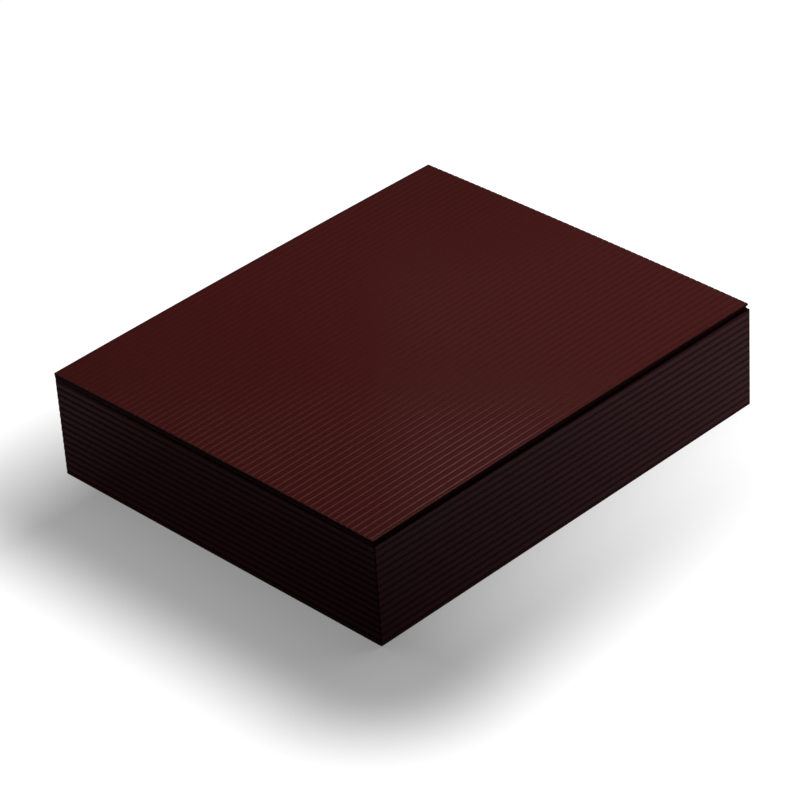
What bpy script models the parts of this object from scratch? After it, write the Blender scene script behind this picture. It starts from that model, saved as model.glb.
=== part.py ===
"""Disposable bento box: a laminated box of flat boards with a finely ribbed outside and a lift-off lid.

Metres, +Z up. X runs along the long side, Y along the short side, and the origin is the middle of the
underside. Every board of the box is a dark foam core with a thin ribbed sheet glued on its outside. The
four walls are mitred at the corners, the base is set in between them, and two half-lapped dividers stand
on it. The lid lies on the walls and is kept in place by four battens that drop inside them.
"""

from math import floor, radians, sqrt

import bmesh
import bpy
from mathutils import Matrix

# Driving dimensions
BOX_LENGTH = 0.218
BOX_WIDTH = 0.182
WALL_HEIGHT = 0.0462
WALL_BOARD_THICKNESS = 0.0030
BASE_BOARD_THICKNESS = 0.0030
FACING_THICKNESS = 0.0008
LID_BOARD_THICKNESS = 0.0016
LID_UNDERSIZE = 0.0006
LID_SHIFT = 0.0003
LID_DROOP = 0.00065
LID_BOARD_INSET = 0.0005
BATTEN_WIDTH = 0.0060
BATTEN_DEPTH = 0.0050
DIVIDER_THICKNESS = 0.0016
CROSS_DIVIDER_OFFSET = 0.0

# The ribs: flat lands with narrow grooves between them
RIB_PITCH = 0.0032
GROOVE_WIDTH = 0.0011
GROOVE_DEPTH = 0.00025
WALL_TOP_LAND = 0.0026
LID_EDGE_LAND = 0.0010

# Clearances
GLUE_LINE = 0.0003
SEAT_GAP = 0.0003
MITRE_GAP = 0.0003
BATTEN_CLEARANCE = 0.0008
DIVIDER_CLEARANCE = 0.0003
DIVIDER_HEADROOM = 0.0030

# How finely the lid's gentle droop is drawn, and how near two points of one section may lie
DROOP_STEPS = 8
WELD_DISTANCE = 0.00001

# Sizes that follow from those above
BOARD_DEPTH = FACING_THICKNESS + GLUE_LINE
WALL_DEPTH = BOARD_DEPTH + WALL_BOARD_THICKNESS
INNER_LENGTH = BOX_LENGTH - 2 * WALL_DEPTH
INNER_WIDTH = BOX_WIDTH - 2 * WALL_DEPTH
LID_LENGTH = BOX_LENGTH - LID_UNDERSIZE
LID_WIDTH = BOX_WIDTH - LID_UNDERSIZE
LID_UNDERSIDE = WALL_HEIGHT + SEAT_GAP + LID_DROOP
LID_TOP = LID_UNDERSIDE + LID_BOARD_THICKNESS + GLUE_LINE + FACING_THICKNESS
BATTEN_TOP = LID_UNDERSIDE - GLUE_LINE
BATTEN_BOTTOM = BATTEN_TOP - BATTEN_DEPTH
DIVIDER_BOTTOM = BASE_BOARD_THICKNESS + SEAT_GAP
DIVIDER_TOP = BATTEN_BOTTOM - LID_DROOP - DIVIDER_HEADROOM

# What each kind of surface looks like: linear colour and roughness
FINISHES = {
    "ribbed_film": ((0.0513, 0.0116, 0.0103), 0.38),
    "foam_core": ((0.0060, 0.0040, 0.0042), 0.80),
    "smooth_film": ((0.0420, 0.0100, 0.0090), 0.45),
}


def clear_scene():
    for obj in list(bpy.data.objects):
        bpy.data.objects.remove(obj, do_unlink=True)


def new_collection(name):
    collection = bpy.data.collections.new(name)
    bpy.context.scene.collection.children.link(collection)
    return collection


def move_to(obj, collection):
    for other in list(obj.users_collection):
        other.objects.unlink(obj)
    collection.objects.link(obj)


def finish(obj, name, finish_name):
    """Names a piece and gives it a material of its own."""
    obj.name = name
    obj.data.name = name
    colour, roughness = FINISHES[finish_name]
    material = bpy.data.materials.new(f"{name}_{finish_name}")
    material.use_nodes = True
    shader = material.node_tree.nodes["Principled BSDF"]
    shader.inputs["Base Color"].default_value = (*colour, 1.0)
    shader.inputs["Roughness"].default_value = roughness
    shader.inputs["Metallic"].default_value = 0.0
    obj.data.materials.clear()
    obj.data.materials.append(material)
    move_to(obj, PARTS)
    return obj


def box(low, high):
    """A box between two corners, with its place in its mesh."""
    bpy.ops.mesh.primitive_cube_add(size=1.0)
    obj = bpy.context.active_object
    size = [b - a for a, b in zip(low, high)]
    middle = [(a + b) / 2 for a, b in zip(low, high)]
    obj.data.transform(Matrix.Translation(middle) @ Matrix.Diagonal((*size, 1.0)))
    return obj


def groove_count(span, first_land, last_land):
    """How many grooves fit across a sheet that keeps a land along each edge."""
    return floor((span - first_land - last_land - GROOVE_WIDTH) / RIB_PITCH) + 1


def ribbed_sheet(length, span, centres, back_steps):
    """A thin sheet with V grooves along its length.

    It lies as drawn: the outline is a section of the sheet, across it in X and into it in Y, and the
    length runs along Z. X counts from the edge where the first groove is.
    """
    outline = [(0.0, 0.0)]
    for centre in centres:
        outline.append((centre - GROOVE_WIDTH / 2, 0.0))
        outline.append((centre, GROOVE_DEPTH))
        outline.append((centre + GROOVE_WIDTH / 2, 0.0))
    outline.append((span, 0.0))
    outline += [(span * (back_steps - i) / back_steps, FACING_THICKNESS) for i in range(back_steps + 1)]
    curve = bpy.data.curves.new("section", "CURVE")
    curve.dimensions = "2D"
    curve.fill_mode = "BOTH"
    curve.extrude = length / 2
    spline = curve.splines.new("POLY")
    spline.points.add(len(outline) - 1)
    for point, (across, depth) in zip(spline.points, outline):
        point.co = (across, depth, 0.0, 1.0)
    spline.use_cyclic_u = True
    drawn = bpy.data.objects.new("section", curve)
    bpy.context.scene.collection.objects.link(drawn)
    bpy.context.view_layer.update()
    evaluated = drawn.evaluated_get(bpy.context.evaluated_depsgraph_get())
    mesh = bpy.data.meshes.new_from_object(evaluated)
    bpy.data.objects.remove(drawn)
    model = bmesh.new()
    model.from_mesh(mesh)
    bmesh.ops.remove_doubles(model, verts=model.verts, dist=WELD_DISTANCE)
    bmesh.ops.recalc_face_normals(model, faces=model.faces)
    model.to_mesh(mesh)
    model.free()
    obj = bpy.data.objects.new("sheet", mesh)
    bpy.context.scene.collection.objects.link(obj)
    return obj


def runs_along(edge, axis):
    """Whether an edge is parallel to an axis, 0 for X and 1 for Y."""
    start, end = (vertex.co for vertex in edge.verts)
    return all(abs(end[i] - start[i]) < WELD_DISTANCE for i in range(3) if i != axis)


def cut_along(obj, axis, pieces):
    """Cuts the edges that run along an axis into equal pieces, so that the mesh can bend there."""
    model = bmesh.new()
    model.from_mesh(obj.data)
    edges = [edge for edge in model.edges if runs_along(edge, axis)]
    bmesh.ops.subdivide_edges(model, edges=edges, cuts=pieces - 1, use_grid_fill=True)
    model.to_mesh(obj.data)
    model.free()


def mitre(obj, half_length):
    """Cuts both ends at 45 degrees: an end moves in by as much as it lies behind the outer face."""
    setback = MITRE_GAP / sqrt(2)
    for vertex in obj.data.vertices:
        side = 1 if vertex.co.x > 0 else -1
        vertex.co.x = side * (half_length - vertex.co.y - setback)


def wall(name, length, distance, quarter_turns):
    """One wall: a core board and its ribbed sheet, drawn as the front wall and turned into place."""
    first = WALL_TOP_LAND + GROOVE_WIDTH / 2
    count = groove_count(WALL_HEIGHT, WALL_TOP_LAND, GROOVE_WIDTH / 2)
    sheet = ribbed_sheet(length, WALL_HEIGHT, [first + i * RIB_PITCH for i in range(count)], 1)
    # across the sheet is down from the top edge, and its length runs along X
    sheet.data.transform(
        Matrix(((0, 0, 1, 0), (0, 1, 0, 0), (-1, 0, 0, WALL_HEIGHT), (0, 0, 0, 1)))
    )
    board = box((-length / 2, BOARD_DEPTH, 0.0), (length / 2, WALL_DEPTH, WALL_HEIGHT))
    turn = Matrix.Rotation(radians(90 * quarter_turns), 4, "Z")
    for obj, part, look in ((sheet, "facing", "ribbed_film"), (board, "board", "foam_core")):
        mitre(obj, length / 2)
        finish(obj, f"{name}_wall_{part}", look)
        obj.matrix_world = turn @ Matrix.Translation((0.0, -distance, 0.0))


def make_walls():
    wall("front", BOX_LENGTH, BOX_WIDTH / 2, 0)
    wall("right", BOX_WIDTH, BOX_LENGTH / 2, 1)
    wall("back", BOX_LENGTH, BOX_WIDTH / 2, 2)
    wall("left", BOX_WIDTH, BOX_LENGTH / 2, 3)


def make_base():
    half_length = INNER_LENGTH / 2 - SEAT_GAP
    half_width = INNER_WIDTH / 2 - SEAT_GAP
    base = box((-half_length, -half_width, 0.0), (half_length, half_width, BASE_BOARD_THICKNESS))
    finish(base, "base_board", "smooth_film")


def slot_cutter(x, low, high):
    """A cutter for the half-lap of two dividers that cross at x."""
    half = DIVIDER_THICKNESS / 2 + DIVIDER_CLEARANCE
    cutter = box((x - half, -half, low), (x + half, half, high))
    cutter.hide_render = True
    cutter.display_type = "WIRE"
    move_to(cutter, CUTTERS)
    return cutter


def cut(obj, cutter):
    modifier = obj.modifiers.new("half_lap", "BOOLEAN")
    modifier.operation = "DIFFERENCE"
    modifier.solver = "EXACT"
    modifier.object = cutter


def make_dividers():
    half_thickness = DIVIDER_THICKNESS / 2
    half_length = INNER_LENGTH / 2 - DIVIDER_CLEARANCE
    half_width = INNER_WIDTH / 2 - DIVIDER_CLEARANCE
    middle = (DIVIDER_BOTTOM + DIVIDER_TOP) / 2
    overrun = DIVIDER_TOP - DIVIDER_BOTTOM
    x = CROSS_DIVIDER_OFFSET
    long_divider = box(
        (-half_length, -half_thickness, DIVIDER_BOTTOM), (half_length, half_thickness, DIVIDER_TOP)
    )
    cross_divider = box(
        (x - half_thickness, -half_width, DIVIDER_BOTTOM), (x + half_thickness, half_width, DIVIDER_TOP)
    )
    upper = slot_cutter(x, middle - DIVIDER_CLEARANCE / 2, middle + overrun)
    upper.name = "long_divider_slot"
    lower = slot_cutter(x, middle - overrun, middle + DIVIDER_CLEARANCE / 2)
    lower.name = "cross_divider_slot"
    cut(long_divider, upper)
    cut(cross_divider, lower)
    finish(long_divider, "long_divider", "smooth_film")
    finish(cross_divider, "cross_divider", "smooth_film")


def droop(obj):
    """Lets the lid's corners hang: the drop grows as the square of the way out in X times that in Y."""
    for vertex in obj.data.vertices:
        u = vertex.co.x / (LID_LENGTH / 2)
        v = vertex.co.y / (LID_WIDTH / 2)
        vertex.co.z -= LID_DROOP * u * u * v * v


def lid_piece(obj, name, look):
    droop(obj)
    finish(obj, name, look)
    obj.location = (-LID_SHIFT, LID_SHIFT, 0.0)


def lid_box(low, high, long_axis, steps_across=1):
    """A box that can bend with the lid."""
    obj = box(low, high)
    cut_along(obj, long_axis, DROOP_STEPS)
    if steps_across > 1:
        cut_along(obj, 1 - long_axis, steps_across)
    return obj


def make_lid():
    count = groove_count(LID_WIDTH, LID_EDGE_LAND, LID_EDGE_LAND)
    first = (LID_WIDTH - (count - 1) * RIB_PITCH) / 2
    centres = [first + i * RIB_PITCH for i in range(count)]
    sheet = ribbed_sheet(LID_LENGTH, LID_WIDTH, centres, DROOP_STEPS)
    # across the sheet is along Y, its length along X and its back face down
    sheet.data.transform(
        Matrix(((0, 0, -1, 0), (1, 0, 0, -LID_WIDTH / 2), (0, -1, 0, LID_TOP), (0, 0, 0, 1)))
    )
    cut_along(sheet, 0, DROOP_STEPS)
    lid_piece(sheet, "lid_facing", "ribbed_film")

    half_length = LID_LENGTH / 2 - LID_BOARD_INSET
    half_width = LID_WIDTH / 2 - LID_BOARD_INSET
    board_top = LID_UNDERSIDE + LID_BOARD_THICKNESS
    board = lid_box(
        (-half_length, -half_width, LID_UNDERSIDE), (half_length, half_width, board_top), 0, DROOP_STEPS
    )
    lid_piece(board, "lid_board", "foam_core")

    # the battens stand clear of the walls on every side, also where the lid lies off the middle
    reach_x = INNER_LENGTH / 2 - BATTEN_CLEARANCE - LID_SHIFT
    reach_y = INNER_WIDTH / 2 - BATTEN_CLEARANCE - LID_SHIFT
    for name, side in (("front", -1), ("back", 1)):
        edges = sorted((side * reach_y, side * (reach_y - BATTEN_WIDTH)))
        batten = lid_box((-reach_x, edges[0], BATTEN_BOTTOM), (reach_x, edges[1], BATTEN_TOP), 0)
        lid_piece(batten, f"lid_{name}_batten", "foam_core")
    short_reach = reach_y - BATTEN_WIDTH - SEAT_GAP
    for name, side in (("left", -1), ("right", 1)):
        edges = sorted((side * reach_x, side * (reach_x - BATTEN_WIDTH)))
        batten = lid_box((edges[0], -short_reach, BATTEN_BOTTOM), (edges[1], short_reach, BATTEN_TOP), 1)
        lid_piece(batten, f"lid_{name}_batten", "foam_core")


clear_scene()
PARTS = new_collection("bento_box")
CUTTERS = new_collection("cutters")
make_walls()
make_base()
make_dividers()
make_lid()
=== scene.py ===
# Disposable bento box of foamed polystyrene board, faced outside with finely ribbed red-brown film.
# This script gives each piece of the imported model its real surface, and adds the floor, lamps and camera.
import math

import bpy
import numpy as np
from mathutils import Matrix, Vector


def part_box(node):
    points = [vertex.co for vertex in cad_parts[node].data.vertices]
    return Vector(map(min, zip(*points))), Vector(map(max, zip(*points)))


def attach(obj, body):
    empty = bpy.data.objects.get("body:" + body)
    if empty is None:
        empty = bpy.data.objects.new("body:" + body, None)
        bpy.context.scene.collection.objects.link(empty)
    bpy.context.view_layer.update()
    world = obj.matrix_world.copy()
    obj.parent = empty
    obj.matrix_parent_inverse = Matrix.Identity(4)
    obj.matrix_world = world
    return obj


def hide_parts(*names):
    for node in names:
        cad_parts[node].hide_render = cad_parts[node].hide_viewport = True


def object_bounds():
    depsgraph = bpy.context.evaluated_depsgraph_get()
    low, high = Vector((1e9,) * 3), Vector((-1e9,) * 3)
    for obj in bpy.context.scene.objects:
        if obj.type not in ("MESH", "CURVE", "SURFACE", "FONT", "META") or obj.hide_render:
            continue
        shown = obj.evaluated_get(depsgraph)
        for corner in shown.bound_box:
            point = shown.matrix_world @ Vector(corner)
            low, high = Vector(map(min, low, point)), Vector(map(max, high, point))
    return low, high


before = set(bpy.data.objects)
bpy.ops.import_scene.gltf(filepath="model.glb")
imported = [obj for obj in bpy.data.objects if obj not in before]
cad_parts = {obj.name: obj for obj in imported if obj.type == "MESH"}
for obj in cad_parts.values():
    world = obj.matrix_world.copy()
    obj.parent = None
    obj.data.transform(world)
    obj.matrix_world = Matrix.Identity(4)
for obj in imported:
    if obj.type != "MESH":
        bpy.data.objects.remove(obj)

mm = 0.001
cadLow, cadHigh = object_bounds()
halfLength = cadHigh.x  # from the middle to the walls' outer faces, in metres as all lengths here
halfWidth = cadHigh.y
print("frame loaded:", len(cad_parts), "nodes")


# Finishes

def linearColour(hexCode):
    # sRGB to linear: c / 12.92 up to 0.04045, above it ((c + 0.055) / 1.055) to the power 2.4
    parts = [int(hexCode[i:i + 2], 16) / 255 for i in (1, 3, 5)]
    return (*(c / 12.92 if c <= 0.04045 else ((c + 0.055) / 1.055) ** 2.4 for c in parts), 1.0)


def addNode(tree, kind, inputs=None, **settings):
    # one node with its settings; an input is given a value, or the output socket that feeds it
    node = tree.nodes.new(kind)
    for name, value in settings.items():
        setattr(node, name, value)
    for name, value in (inputs or {}).items():
        if isinstance(value, bpy.types.NodeSocket):
            tree.links.new(value, node.inputs[name])
        else:
            node.inputs[name].default_value = value
    return node


def grey(level):
    return level, level, level, 1


def perMillimetre(size):
    # a noise or cell pattern's scale for marks of this size in millimetres, on Object coordinates in metres
    return 1 / (size * mm)


noise = {
    "octaves": 2.0,
    "finerShare": 0.55,  # of each finer octave, in the film's grain
    "usual": (0.3, 0.7),  # most of its values lie between these
}
ribbedFilmLook = {
    "colour": "#3d1311",
    "paler": "#411513",  # slow drift of the ink over the sheet
    "driftSize": 60,  # mm
    "roughness": (0.13, 0.155),
    "grainSize": 0.9,  # mm, the foam's cells telegraph through the film
    "grainHeight": 0.003,  # mm
    "grooveShadingColour": "#451614",  # painted light: paler down in the grooves, to lift the shade that falls in them
    "specular": 0.085,
    "tint": "#ffb4b4",  # the gloss comes back a little reddish from the ink
    "ior": 1.5,
}
frontFilmLook = {  # the same film on the front and right walls, with less gloss than on the lid: painted shade in what the walls reflect
    **ribbedFilmLook,
    "colour": "#3a1113",
    "paler": "#3e1315",
    # the colour is darker down in the grooves: painted shade
    "grooveShadingColour": "#330e10",
    "specular": 0.037,
    "grooveSpecular": 0.013,  # the grooves get less gloss than the lands: painted shade, so that they reflect less of the bright floor
    "tint": "#e4dcff",
}
backFilmLook = {**frontFilmLook, "specular": 0.017, "grooveSpecular": 0.004}  # on the left and back walls, with still less gloss: deeper painted shade in what they reflect
smoothFilmLook = {
    "colour": "#3a1312",
    "paler": "#421816",
    "driftSize": 45,  # mm
    "roughness": (0.34, 0.42),
    "grainSize": 1.4,  # mm
    "grainHeight": 0.005,  # mm
    "specular": 0.06,
    "tint": "#ffcbcb",
    "ior": 1.5,
}


def printedPolystyreneFilm(name, look):
    # Polystyrene film, printed and glued to foam board. It gives the eye a deep red-brown like lacquer, a
    # soft satin gloss and a faint unevenness from the foam below. Where the look has grooves, which a heated
    # roller embosses, the mesh's own grooveShare is 1 down in them and 0 on the lands between. Inputs 0, 6
    # and 7 of a colour Mix are its factor and its two colours, and output 2 is what it gives.
    material = bpy.data.materials.new(name)
    material.use_nodes = True
    tree = material.node_tree
    shader = tree.nodes["Principled BSDF"]
    place = addNode(tree, "ShaderNodeTexCoord").outputs["Object"]
    drift = addNode(tree, "ShaderNodeTexNoise", {
        "Vector": place, "Scale": perMillimetre(look["driftSize"]), "Detail": noise["octaves"]})
    grain = addNode(tree, "ShaderNodeTexNoise", {
        "Vector": place, "Scale": perMillimetre(look["grainSize"]), "Detail": noise["octaves"],
        "Roughness": noise["finerShare"]})
    colour = addNode(tree, "ShaderNodeMix", {
        0: drift.outputs["Fac"], 6: linearColour(look["colour"]), 7: linearColour(look["paler"])},
        data_type="RGBA")
    roughness = addNode(tree, "ShaderNodeMapRange", {
        "Value": grain.outputs["Fac"], "From Min": noise["usual"][0], "From Max": noise["usual"][1],
        "To Min": look["roughness"][0], "To Max": look["roughness"][1]})
    bump = addNode(tree, "ShaderNodeBump", {
        "Height": grain.outputs["Fac"], "Strength": 1.0, "Distance": look["grainHeight"] * mm})
    ink = colour.outputs[2]
    # the grooves' own colour, mixed in by grooveShare, is painted shading: paler than the lands on the lid,
    # to lift the shade in them, and darker on the walls, as painted shade
    if "grooveShadingColour" in look:
        share = addNode(tree, "ShaderNodeAttribute", attribute_name="grooveShare").outputs["Fac"]
        ink = addNode(tree, "ShaderNodeMix", {
            0: share, 6: ink, 7: linearColour(look["grooveShadingColour"])}, data_type="RGBA").outputs[2]
    tree.links.new(ink, shader.inputs["Base Color"])
    tree.links.new(roughness.outputs["Result"], shader.inputs["Roughness"])
    tree.links.new(bump.outputs["Normal"], shader.inputs["Normal"])
    shader.inputs["Specular IOR Level"].default_value = look["specular"]
    shader.inputs["Specular Tint"].default_value = linearColour(look["tint"])
    shader.inputs["IOR"].default_value = look["ior"]
    return material


cutFoamLook = {
    "colour": "#1a0506",
    "cellColour": "#0e0203",
    "cellSize": 0.35,  # mm, real cells are 0.15 to 0.3 mm and are drawn a little coarser so that they show
    "cellHeight": 0.03,  # mm
    "sawSize": (6.0, 6.0, 0.5),  # mm, long faint streaks that the blade leaves
    "roughness": 0.75,
    "specular": 0.022,
    "ior": 1.5,
}


def cutFoamedPolystyrene(look):
    # Foamed polystyrene board, cut with a blade: matt, nearly black with a little red, with fine open cells.
    material = bpy.data.materials.new("cutFoamedPolystyrene")
    material.use_nodes = True
    tree = material.node_tree
    shader = tree.nodes["Principled BSDF"]
    place = addNode(tree, "ShaderNodeTexCoord").outputs["Object"]
    cells = addNode(tree, "ShaderNodeTexVoronoi", {
        "Vector": place, "Scale": perMillimetre(look["cellSize"])})
    streaks = addNode(tree, "ShaderNodeMapping", {
        "Vector": place, "Scale": tuple(perMillimetre(size) for size in look["sawSize"])})
    streak = addNode(tree, "ShaderNodeTexNoise", {"Vector": streaks.outputs["Vector"], "Scale": 1.0})
    colour = addNode(tree, "ShaderNodeMix", {
        0: cells.outputs["Distance"], 6: linearColour(look["cellColour"]), 7: linearColour(look["colour"])},
        data_type="RGBA")
    height = addNode(tree, "ShaderNodeMath", {
        0: cells.outputs["Distance"], 1: streak.outputs["Fac"]}, operation="ADD")
    bump = addNode(tree, "ShaderNodeBump", {
        "Height": height.outputs["Value"], "Strength": 1.0, "Distance": look["cellHeight"] * mm})
    tree.links.new(colour.outputs[2], shader.inputs["Base Color"])
    tree.links.new(bump.outputs["Normal"], shader.inputs["Normal"])
    shader.inputs["Roughness"].default_value = look["roughness"]
    shader.inputs["Specular IOR Level"].default_value = look["specular"]
    shader.inputs["IOR"].default_value = look["ior"]
    return material


def landAndGroove(name, look):
    # a wall's film as two materials, one for its lands and one with less gloss for its grooves, where the
    # dullness is painted shade
    land = printedPolystyreneFilm(f"embossedPolystyreneLand{name}", look)
    grooveLook = {**look, "specular": look["grooveSpecular"]}
    return land, printedPolystyreneFilm(f"embossedPolystyreneGroove{name}", grooveLook)


lidFilm = printedPolystyreneFilm("embossedPolystyreneFilm", ribbedFilmLook)
frontFilm = landAndGroove("Front", frontFilmLook)
backFilm = landAndGroove("Back", backFilmLook)
smoothFilm = printedPolystyreneFilm("smoothPolystyreneFilm", smoothFilmLook)  # laid on by a plain roller
cutFoam = cutFoamedPolystyrene(cutFoamLook)
print("finishes made")


# Surfaces: every piece is a slab, two sheets of points over one grid, closed round the edge

sharpAngle = 38  # degrees, between faces that meet in a sharp edge
edgeSteps = 5  # positions round each rounded edge


def makeSlab(name, node, body, points, looks, grooveShare=None):
    # points is (top, bottom), each stations x rows x 3. A section of the slab runs along the top's rows and
    # back along the bottom's, each station's section is joined to the next by quads, and a strip of quads
    # from top to bottom closes each end. looks are the materials of the top, the bottom, the edges and, if
    # there is a fourth, of the top's faces that lie more than half down in a groove. grooveShare, where the
    # piece has grooves, is 1 at the top's points down in them and 0 elsewhere.
    top, bottom = points
    stations, rows = top.shape[:2]
    around = 2 * rows
    grid = np.concatenate([top, bottom[:, ::-1]], axis=1)
    index = np.arange(stations * around).reshape(stations, around)
    following = np.roll(index, -1, axis=1)
    sides = np.stack([index[:-1], following[:-1], following[1:], index[1:]], axis=-1).reshape(-1, 4)
    k = np.arange(rows - 1)
    strip = np.stack([k, k + 1, around - 2 - k, around - 1 - k], axis=-1)
    faces = np.concatenate([sides, index[0][strip][:, ::-1], index[-1][strip]])
    zones = np.full((stations - 1, around), 2)
    zones[:, :rows - 1] = 0
    zones[:, rows:around - 1] = 1
    if len(looks) > 3:
        faceShare = (grooveShare[:-1, :-1] + grooveShare[1:, 1:]) / 2
        zones[:, :rows - 1][faceShare > 0.5] = 3
    zones = np.append(zones.ravel(), np.full(2 * len(strip), 2))
    corners = grid.reshape(-1, 3)[faces]
    volume = np.einsum("ij,ij->i", corners[:, 0], np.cross(corners[:, 1], corners[:, 2])).sum()
    volume += np.einsum("ij,ij->i", corners[:, 0], np.cross(corners[:, 2], corners[:, 3])).sum()
    if volume < 0:  # a mirrored place turns the faces inwards, so they are turned back
        faces = faces[:, ::-1]
    mesh = bpy.data.meshes.new(name)
    mesh.from_pydata(grid.reshape(-1, 3).tolist(), [], faces.tolist())
    for look in looks:
        mesh.materials.append(look)
    mesh.polygons.foreach_set("material_index", zones.astype(np.int32))
    mesh.polygons.foreach_set("use_smooth", np.ones(len(faces), dtype=bool))
    if grooveShare is not None:
        share = np.zeros((stations, around))
        share[:, :rows] = grooveShare
        attribute = mesh.attributes.new("grooveShare", "FLOAT", "POINT")
        attribute.data.foreach_set("value", share.astype(np.float32).ravel())
    mesh.update()
    mesh.set_sharp_from_angle(angle=math.radians(sharpAngle))
    piece = bpy.data.objects.new(name, mesh)
    bpy.context.scene.collection.objects.link(piece)
    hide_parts(node)
    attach(piece, body)


def edgeArc(radius):
    # ways in from an edge: a quarter circle seen from above, and one more where the flat has begun
    arc = radius * (1 - np.cos(np.linspace(0, math.pi / 2, edgeSteps)))
    return np.append(arc, 2 * radius)


def steps(low, high, radius, between):
    # positions from low to high: the edge's own at each end, and those between
    arc = edgeArc(radius)
    return np.concatenate([low + arc, between, (high - arc)[::-1]])


def evenSteps(low, high, radius, count):
    # the same with count even positions, of which the first and last are the ends
    return steps(low, high, radius, np.linspace(low, high, count)[1:-1])


def rounding(distance, radius):
    # how far a surface lies below its plane at a distance from its edge: radius * (1 - sqrt(1 - rest^2)),
    # where rest is 1 - distance / radius
    rest = np.clip(1 - distance / radius, 0, 1)
    return radius * (1 - np.sqrt(1 - rest ** 2))


def roundedCorner(nearX, nearY, radius):
    # the rounding at two edges that meet, from the distances to them, taken together at their corner
    rest = np.hypot(np.clip(1 - nearX / radius, 0, 1), np.clip(1 - nearY / radius, 0, 1))
    return rounding(radius * (1 - np.minimum(rest, 1)), radius)


def roundedEdge(x, y, low, high, radius):
    # the rounding at all four edges of a board
    nearX = np.minimum(x - low.x, high.x - x)
    nearY = np.minimum(y - low.y, high.y - y)
    return roundedCorner(nearX, nearY, radius)


lidGroove = {
    "width": 1.1 * mm,
    "slope": 0.39,  # of its flanks
    "softness": 0.25,  # how round its bottom is
    "stepsAcross": 12,
    "stripWidth": 1.1 * mm,  # of the strip along it over which the colour fades into the grooves' painted shading, paler on the lid and darker on the walls
}
wallGroove = {**lidGroove, "width": 1.8 * mm, "slope": 0.11, "stripWidth": 2.8 * mm}


def grooveDepth(offset, groove):
    # a V with a round bottom: with t from -1 to 1 across it and softness s, its depth at t is
    # slope * width / 2 * (sqrt(1 + s^2) - sqrt(t^2 + s^2)), and none outside it
    t = np.clip(np.abs(offset) / (groove["width"] / 2), 0, 1)
    s = groove["softness"]
    return groove["slope"] * groove["width"] / 2 * (math.sqrt(1 + s ** 2) - np.sqrt(t ** 2 + s ** 2))


def insideGroove(offset, groove):
    # 1 on the groove's middle line, falling to 0 at the strip's edges as the square of a cosine
    return np.cos(math.pi / 2 * np.clip(np.abs(offset) / (groove["stripWidth"] / 2), 0, 1)) ** 2


# The walls: each is drawn as the front wall and turned. These lengths are in millimetres. A groove's height
# is that of the first one, plus the lean times the way along from the left end as seen from outside, less
# its number times the pitch, and the pitch grows by the fan from the left end to the right.
walls = {
    "front": {"quarterTurns": 0, "first": 44.25, "lean": -1.85, "pitch": 3.253, "fan": -0.073,
              "film": frontFilm},
    "right": {"quarterTurns": 1, "first": 43.7, "lean": 0.6, "pitch": 3.19, "fan": 0.02, "film": frontFilm},
    "back": {"quarterTurns": 2, "first": 43.2, "lean": -0.5, "pitch": 3.21, "fan": -0.02, "film": backFilm},
    "left": {"quarterTurns": 3, "first": 42.3, "lean": 0.98, "pitch": 3.12, "fan": 0.0, "film": backFilm},
}
wallMake = {
    "rowSpacing": 0.09 * mm,
    "rowMargins": (4, 3),  # between these rows and the bottom and top edges, in edge radii
    "columns": 40,
    "cornerSteps": 5,
    "mitreGap": 0.06 * mm,
    "cornerRadius": 0.4 * mm,
    "edgeRadius": 0.12 * mm,
    "boardRadius": 0.35 * mm,
    "boardColumns": 9,
    "boardRows": 5,
    "boardRowsWithin": (0.1, 0.9),  # of the wall's height
    "glueLine": 0.02 * mm,
}


def turned(points, quarterTurns, distance):
    # from a wall's own place, x along, y inwards and z up, to its side of the box
    turn = np.array(Matrix.Rotation(math.radians(90 * quarterTurns), 3, "Z"))
    return (points + np.array([0, -distance, 0])) @ turn.T


def mitred(along, half, depth, height):
    # points of a sheet at a depth behind the wall's outer face, its ends cut at 45 degrees
    x = along * (half - wallMake["mitreGap"] / math.sqrt(2) - depth)
    return np.stack(np.broadcast_arrays(x, depth, height), axis=-1)


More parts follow.
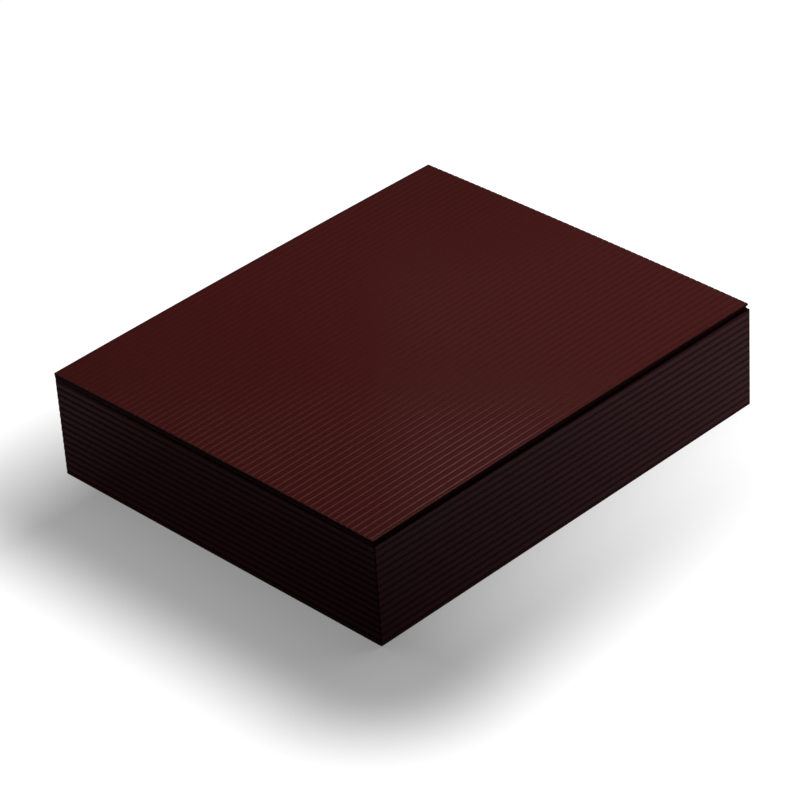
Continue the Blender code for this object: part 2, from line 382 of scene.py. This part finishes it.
def makeWall(name, wall):
    boardLow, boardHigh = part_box(f"{name}_wall_board")
    short = wall["quarterTurns"] % 2
    half, distance = (halfWidth, halfLength) if short else (halfLength, halfWidth)
    axis = 0 if short else 1
    sign = 1 if wall["quarterTurns"] in (1, 2) else -1  # which side of the middle the wall is on
    boardFaces = sorted(distance - sign * edge[axis] for edge in (boardLow, boardHigh))
    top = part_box(f"{name}_wall_facing")[1].z

    # the ribbed sheet: stations along the wall, rows up it
    radius = wallMake["edgeRadius"]
    below, above = (radii * radius for radii in wallMake["rowMargins"])
    height = steps(0, top, radius, np.arange(below, top - above, wallMake["rowSpacing"]))[None, :]
    end = wallMake["cornerRadius"] / half  # the even columns stop twice this far from the ends
    along = np.linspace(-1 + 2 * end, 1 - 2 * end, wallMake["columns"])
    ends = np.linspace(0, 1, wallMake["cornerSteps"]) * end
    along = np.concatenate([-1 + ends, along, (1 - ends)[::-1]])[:, None]
    share = (along + 1) / 2
    pitch = (wall["pitch"] + wall["fan"] * share) * mm
    count = ((wall["first"] + wall["lean"] * share) * mm - height) / pitch
    offset = (count - np.round(count)) * pitch
    depth = grooveDepth(offset, wallGroove)
    depth += rounding(np.minimum(height, top - height), radius)
    turnAngle = math.pi / 4 * np.clip((np.abs(along) - 1 + end) / end, 0, 1)
    depth += wallMake["cornerRadius"] * (1 - np.cos(turnAngle))
    faces = (depth, boardFaces[0] - wallMake["glueLine"])
    points = [turned(mitred(along, half, face, height), wall["quarterTurns"], distance) for face in faces]
    land, groove = wall["film"]
    makeSlab(f"{name}WallFilm", f"{name}_wall_facing", "box", points,
             (land, cutFoam, cutFoam, groove), insideGroove(offset, wallGroove))

    # the core board behind it: its inner face is the smooth film, its top edge the cut foam
    radius = wallMake["boardRadius"]
    rowHeights = np.linspace(*wallMake["boardRowsWithin"], wallMake["boardRows"]) * top
    height = steps(boardLow.z, boardHigh.z, radius, rowHeights)[None, :]
    along = np.linspace(-1, 1, wallMake["boardColumns"])[:, None]
    edge = rounding(np.minimum(height - boardLow.z, boardHigh.z - height), radius)
    faces = (boardFaces[0], boardFaces[1] - edge)
    points = [turned(mitred(along, half, face, height), wall["quarterTurns"], distance) for face in faces]
    makeSlab(f"{name}WallBoard", f"{name}_wall_board", "box", points,
             (cutFoam, smoothFilm, cutFoam))


for wallName, wallValues in walls.items():
    makeWall(wallName, wallValues)
print("walls made")


# The lid: a ribbed sheet on a core board, which hangs a little at its corners

lid = {
    "droop": 0.65 * mm,
    "firstGroove": 1.47 * mm,  # from the front edge
    "pitch": 3.21 * mm,
    "skew": 0.0011,  # sideways per length
    "columns": 44,
    "landStep": 1.3,  # where each land begins, from a groove's middle and in halves of its width
    "edgeRadius": 0.35 * mm,
    "boardRadius": 0.15 * mm,
    "boardShift": 0.4 * mm,  # the core board's left and back edges reach this much further out
    "boardSteps": (20, 18),  # along x and y
    "battenRadius": 0.3 * mm,
    "battenSteps": 14,
    "glueLine": 0.02 * mm,
}
lidLow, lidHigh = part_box("lid_facing")
lidMiddle = (lidLow + lidHigh) / 2
lidHalf = (lidHigh - lidLow) / 2


def lidDroop(x, y):
    # the droop times the square of the way out in x and that in y
    u = (x - lidMiddle.x) / lidHalf.x
    v = (y - lidMiddle.y) / lidHalf.y
    return lid["droop"] * (u * v) ** 2


def lidSlab(x, y, topDepth, bottomDepth):
    # points at these depths under the lid's top, bent with the lid
    z = lidHigh.z - lidDroop(x, y)
    return [np.stack(np.broadcast_arrays(x, y, z - depth), axis=-1) for depth in (topDepth, bottomDepth)]


def makeLidFilm():
    radius = lid["edgeRadius"]
    half = lidGroove["width"] / 2
    across = np.linspace(-half, half, lidGroove["stepsAcross"] + 1)
    across = np.concatenate([[-lid["landStep"] * half], across, [lid["landStep"] * half]])
    number = np.floor((2 * lidHalf.y - lid["firstGroove"] - lidGroove["width"]) / lid["pitch"]) + 1
    centres = lidLow.y + lid["firstGroove"] + lid["pitch"] * np.arange(number)
    x = evenSteps(lidLow.x, lidHigh.x, radius, lid["columns"])[:, None]
    rows = (centres[:, None] + across[None, :]).ravel()
    margin = np.zeros(edgeSteps + 1)  # the positions at either edge, which have no skew and no groove
    skew = np.concatenate([margin, np.ones(len(rows)), margin])[None, :]
    y = steps(lidLow.y, lidHigh.y, radius, rows)[None, :] + skew * lid["skew"] * (x - lidLow.x)
    offset = np.concatenate([margin + half, np.tile(across, len(centres)), margin + half])[None, :]
    depth = grooveDepth(offset, lidGroove) + roundedEdge(x, y, lidLow, lidHigh, radius)
    boardTop = lidHigh.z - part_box("lid_board")[1].z
    points = lidSlab(x, y, depth, boardTop - lid["glueLine"])
    makeSlab("lidFilm", "lid_facing", "lid", points, (lidFilm, cutFoam, cutFoam),
             insideGroove(offset, lidGroove))


def makeLidBoard():
    low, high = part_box("lid_board")
    low.x -= lid["boardShift"]
    high.y += lid["boardShift"]
    radius = lid["boardRadius"]
    x = evenSteps(low.x, high.x, radius, lid["boardSteps"][0])[:, None]
    y = evenSteps(low.y, high.y, radius, lid["boardSteps"][1])[None, :]
    edge = roundedEdge(x, y, low, high, radius)
    top = lidHigh.z - high.z
    thickness = high.z - low.z - lidDroop(high.x, high.y)
    points = lidSlab(x, y, top + edge, top + thickness - edge)
    makeSlab("lidBoard", "lid_board", "lid", points, (cutFoam, smoothFilm, cutFoam))
    return top + thickness


def makeBatten(side, boardBottom):
    node = f"lid_{side}_batten"
    low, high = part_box(node)
    radius = lid["battenRadius"]
    x = evenSteps(low.x, high.x, radius, lid["battenSteps"])[:, None]
    y = evenSteps(low.y, high.y, radius, lid["battenSteps"])[None, :]
    edge = roundedEdge(x, y, low, high, radius)
    outermost = lidDroop(max(abs(low.x), abs(high.x)), max(abs(low.y), abs(high.y)))
    bottom = lidHigh.z - low.z - outermost
    points = lidSlab(x, y, boardBottom + lid["glueLine"] + edge, bottom - edge)
    makeSlab(f"{side}Batten", node, "lid", points, (cutFoam, cutFoam, cutFoam))


makeLidFilm()
lidBoardBottom = makeLidBoard()
for battenSide in ("front", "back", "left", "right"):
    makeBatten(battenSide, lidBoardBottom)
print("lid made")


# The base and the two dividers, half-lapped where they cross

inside = {
    "baseRadius": 0.3 * mm,
    "baseSteps": 9,
    "dividerRadius": 0.25 * mm,
    "lapClearance": 0.3 * mm,
    "slotCorner": 0.02 * mm,  # the width over which a divider's height changes at its slot
}


def makeBase():
    low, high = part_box("base_board")
    radius = inside["baseRadius"]
    x = evenSteps(low.x, high.x, radius, inside["baseSteps"])[:, None]
    y = evenSteps(low.y, high.y, radius, inside["baseSteps"])[None, :]
    edge = roundedEdge(x, y, low, high, radius)
    points = [np.stack(np.broadcast_arrays(x, y, z), axis=-1) for z in (high.z - edge, low.z + edge)]
    makeSlab("baseBoard", "base_board", "box", points, (smoothFilm, smoothFilm, cutFoam))


def makeDivider(node, name, axis, slotAbove):
    # a thin board along the axis 0 or 1, with a slot from above or below: stations along it, rows up it
    low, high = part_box(node)
    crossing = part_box("cross_divider" if axis == 0 else "long_divider")
    radius = inside["dividerRadius"]
    halfSlot = (crossing[1][axis] - crossing[0][axis]) / 2 + inside["lapClearance"]
    centre = (crossing[0][axis] + crossing[1][axis]) / 2
    outer = halfSlot + inside["slotCorner"]
    slotSides = centre + np.array([-outer, -halfSlot, halfSlot, outer])
    along = steps(low[axis], high[axis], radius, slotSides)[:, None]
    middle = (low.z + high.z) / 2
    inSlot = np.abs(along - centre) <= halfSlot + inside["slotCorner"] / 2
    gap = inside["lapClearance"] / 2
    topZ = np.where(inSlot & slotAbove, middle - gap, high.z)
    bottomZ = np.where(inSlot & (not slotAbove), middle + gap, low.z)
    rise = edgeArc(radius)
    z = np.concatenate([bottomZ + rise[None, :], topZ - rise[None, ::-1]], axis=1)
    nearEnd = np.minimum(along - low[axis], high[axis] - along)
    nearTop = np.minimum(z - bottomZ, topZ - z)
    edge = roundedCorner(nearEnd, nearTop, radius)
    other = 1 - axis
    points = []
    for face in (low[other] + edge, high[other] - edge):
        across = (along, face) if axis == 0 else (face, along)
        points.append(np.stack(np.broadcast_arrays(*across, z), axis=-1))
    makeSlab(name, node, "box", points, (smoothFilm, smoothFilm, cutFoam))


makeBase()
makeDivider("long_divider", "longDivider", 0, True)
makeDivider("cross_divider", "crossDivider", 1, False)
print("inside made")


# Floor, world, lamps and camera

def turnedView(azimuth):
    # unit vectors on the floor: away from the camera, and to its right
    away = Vector((-math.sin(math.radians(azimuth)), math.cos(math.radians(azimuth)), 0))
    return away, Vector((away.y, -away.x, 0))


camera = {
    "place": (-0.87037, -0.91150, 0.84417),
    "target": (-0.00848, -0.00428, 0.025),
    "azimuth": -43.532,  # degrees, of the way it looks
    "roll": -3.772,  # degrees
    "lens": 165.423,  # mm
    "sensor": 36,  # mm across
}


def makeCamera(values):
    data = bpy.data.cameras.new("camera")
    data.lens = values["lens"]
    data.sensor_width = values["sensor"]
    data.sensor_fit = "HORIZONTAL"
    place = Vector(values["place"])
    forward = (Vector(values["target"]) - place).normalized()
    level = forward.cross(Vector((0, 0, 1))).normalized()
    upright = level.cross(forward)
    roll = math.radians(values["roll"])
    right = math.cos(roll) * level + math.sin(roll) * upright
    up = -math.sin(roll) * level + math.cos(roll) * upright
    view = bpy.data.objects.new("camera", data)
    view.matrix_world = Matrix.Translation(place) @ Matrix((right, up, -forward)).transposed().to_4x4()
    bpy.context.scene.collection.objects.link(view)
    bpy.context.scene.camera = view


floorLook = {
    "size": 12.0,
    "drop": 0.2 * mm,  # just under the box, so that no two faces share a plane
    "seen": 0.25,  # how pale the eye and the gloss see it
    "glow": (0.24, 0.95),  # what lifts it to white: less in a painted shadow by the box's left and front, and full all round
    "paintedShadowReach": (0.025, 0.085),  # the painted shadow fades over these distances from the box
    "paintedShadowSide": (-0.10, 0.12),  # and from this far left of its middle to this far right of it
    "paintedShadowBack": (0.07, 0.15),  # and between these distances behind its middle
    "bounce": 0.06,  # how much of the light it throws back on the box
}


def seenDirectly(tree):
    # 1 for what the camera sees, also by way of gloss or glass
    rays = addNode(tree, "ShaderNodeLightPath").outputs
    either = addNode(tree, "ShaderNodeMath", {0: rays["Is Camera Ray"], 1: rays["Is Glossy Ray"]},
                     operation="MAXIMUM")
    every = addNode(tree, "ShaderNodeMath", {0: either.outputs[0], 1: rays["Is Transmission Ray"]},
                    operation="MAXIMUM")
    return every.outputs[0]


def makeFloor(values):
    material = bpy.data.materials.new("mattWhitePaper")
    material.use_nodes = True
    tree = material.node_tree
    tree.nodes.clear()
    seen = addNode(tree, "ShaderNodeBsdfDiffuse", {"Color": grey(values["seen"])})
    place = addNode(tree, "ShaderNodeTexCoord").outputs["Object"]
    # the distance from the box is the length of the part of |place| that lies beyond the box's half sizes,
    # and no height on the floor comes near the half size of 1 m
    folded = addNode(tree, "ShaderNodeVectorMath", {0: place}, operation="ABSOLUTE")
    beyond = addNode(tree, "ShaderNodeVectorMath", {
        0: folded.outputs[0], 1: (halfLength, halfWidth, 1)}, operation="SUBTRACT")
    outside = addNode(tree, "ShaderNodeVectorMath", {0: beyond.outputs[0]}, operation="MAXIMUM")
    distance = addNode(tree, "ShaderNodeVectorMath", {0: outside.outputs[0]}, operation="LENGTH")
    # the glow is lowered near the box's left and front, where a painted shadow lies on the floor; the walls
    # reflect it too
    near = addNode(tree, "ShaderNodeMapRange", {
        "Value": distance.outputs["Value"],
        "From Min": values["paintedShadowReach"][0], "From Max": values["paintedShadowReach"][1],
        "To Min": 1.0, "To Max": 0.0}, interpolation_type="SMOOTHSTEP")
    shade = near.outputs[0]
    across = addNode(tree, "ShaderNodeSeparateXYZ", {0: place}).outputs
    for axis, reach in (("X", values["paintedShadowSide"]), ("Y", values["paintedShadowBack"])):
        fade = addNode(tree, "ShaderNodeMapRange", {
            "Value": across[axis], "From Min": reach[0], "From Max": reach[1], "To Min": 1.0, "To Max": 0.0})
        faded = addNode(tree, "ShaderNodeMath", {0: shade, 1: fade.outputs[0]}, operation="MULTIPLY")
        shade = faded.outputs[0]
    strength = addNode(tree, "ShaderNodeMapRange", {
        "Value": shade, "To Min": values["glow"][1], "To Max": values["glow"][0]})
    glow = addNode(tree, "ShaderNodeEmission", {"Strength": strength.outputs["Result"]})
    white = addNode(tree, "ShaderNodeAddShader", {0: seen.outputs[0], 1: glow.outputs[0]})
    bounce = addNode(tree, "ShaderNodeBsdfDiffuse", {"Color": grey(values["bounce"])})
    both = addNode(tree, "ShaderNodeMixShader", {
        0: seenDirectly(tree), 1: bounce.outputs[0], 2: white.outputs[0]})
    addNode(tree, "ShaderNodeOutputMaterial", {"Surface": both.outputs[0]})
    half = values["size"] / 2
    corners = [(x * half, y * half, -values["drop"]) for x, y in ((-1, -1), (1, -1), (1, 1), (-1, 1))]
    mesh = bpy.data.meshes.new("floor")
    mesh.from_pydata(corners, [], [(0, 1, 2, 3)])
    mesh.materials.append(material)
    floor = bpy.data.objects.new("floor", mesh)
    bpy.context.scene.collection.objects.link(floor)


worldLook = {
    "ambient": 0.02,
    "horizon": 1.0,
    "upper": 0.09,
    "fade": (0.005, 0.04),  # the height, as a share of the way up, at which the one turns into the other
}


def makeWorld(values):
    world = bpy.data.worlds.new("studio")
    world.use_nodes = True
    bpy.context.scene.world = world
    tree = world.node_tree
    tree.nodes.clear()
    direction = addNode(tree, "ShaderNodeTexCoord").outputs["Generated"]
    height = addNode(tree, "ShaderNodeSeparateXYZ", {0: direction}).outputs["Z"]
    fade = addNode(tree, "ShaderNodeMapRange", {
        "Value": height, "From Min": values["fade"][0], "From Max": values["fade"][1],
        "To Min": values["horizon"], "To Max": values["upper"]}, interpolation_type="SMOOTHSTEP")
    # inputs 0, 2 and 3 of a Mix of numbers are its factor and the two numbers
    strength = addNode(tree, "ShaderNodeMix", {
        0: seenDirectly(tree), 2: values["ambient"], 3: fade.outputs["Result"]}, data_type="FLOAT")
    sky = addNode(tree, "ShaderNodeBackground", {"Color": grey(1), "Strength": strength.outputs[0]})
    addNode(tree, "ShaderNodeOutputWorld", {"Surface": sky.outputs[0]})


lamps = {
    # place and aim are metres from the box's middle, away from the camera, to its right and up; the two
    # boxes are what the lid's grooves mirror
    "softbox": {
        "place": (0.021, 0.150, 0.381), "aim": (0.021, 0.150, 0), "size": (0.535, 0.274), "power": 1.34},
    "smallBox": {  # just under the softbox
        "place": (0.087, 0.170, 0.378), "aim": (0.087, 0.170, 0), "size": (0.073, 0.101), "power": 0.12},
    "backCard": {
        "place": (0.08, -0.28, 0.42), "aim": (0, -0.03, 0.05), "size": (0.25, 0.25), "power": 0.40},
    "whiteCard": {
        "place": (0.604, 0.142, 0.598), "aim": (0, 0, 0), "size": (0.315, 0.405), "power": 0.10},
    "rightCard": {
        "place": (-0.05, 0.36, 0.03), "aim": (0, 0.14, 0.03), "size": (0.25, 0.05), "power": 0.19,
        "inGloss": False},
    "leftCard": {
        "place": (-0.05, -0.36, 0.085), "aim": (0, -0.14, 0.03), "size": (0.25, 0.06), "power": 0.075,
        "inGloss": False},
}


def makeLamps(values):
    away, right = turnedView(camera["azimuth"])
    frameOfView = Matrix((away, right, (0, 0, 1))).transposed()
    for name, lamp in values.items():
        data = bpy.data.lights.new(name, "AREA")
        data.shape = "RECTANGLE"
        data.size, data.size_y = lamp["size"]
        data.energy = lamp["power"]
        place = frameOfView @ Vector(lamp["place"])
        back = (place - frameOfView @ Vector(lamp["aim"])).normalized()
        side = (right - back * right.dot(back)).normalized()
        panel = bpy.data.objects.new(name, data)
        panel.visible_camera = False
        panel.visible_glossy = lamp.get("inGloss", True)
        axes = Matrix((side, back.cross(side), back)).transposed()
        panel.matrix_world = Matrix.Translation(place) @ axes.to_4x4()
        bpy.context.scene.collection.objects.link(panel)


makeCamera(camera)
makeFloor(floorLook)
makeWorld(worldLook)
makeLamps(lamps)
bpy.context.scene.view_settings.view_transform = "Standard"
print("stage made")
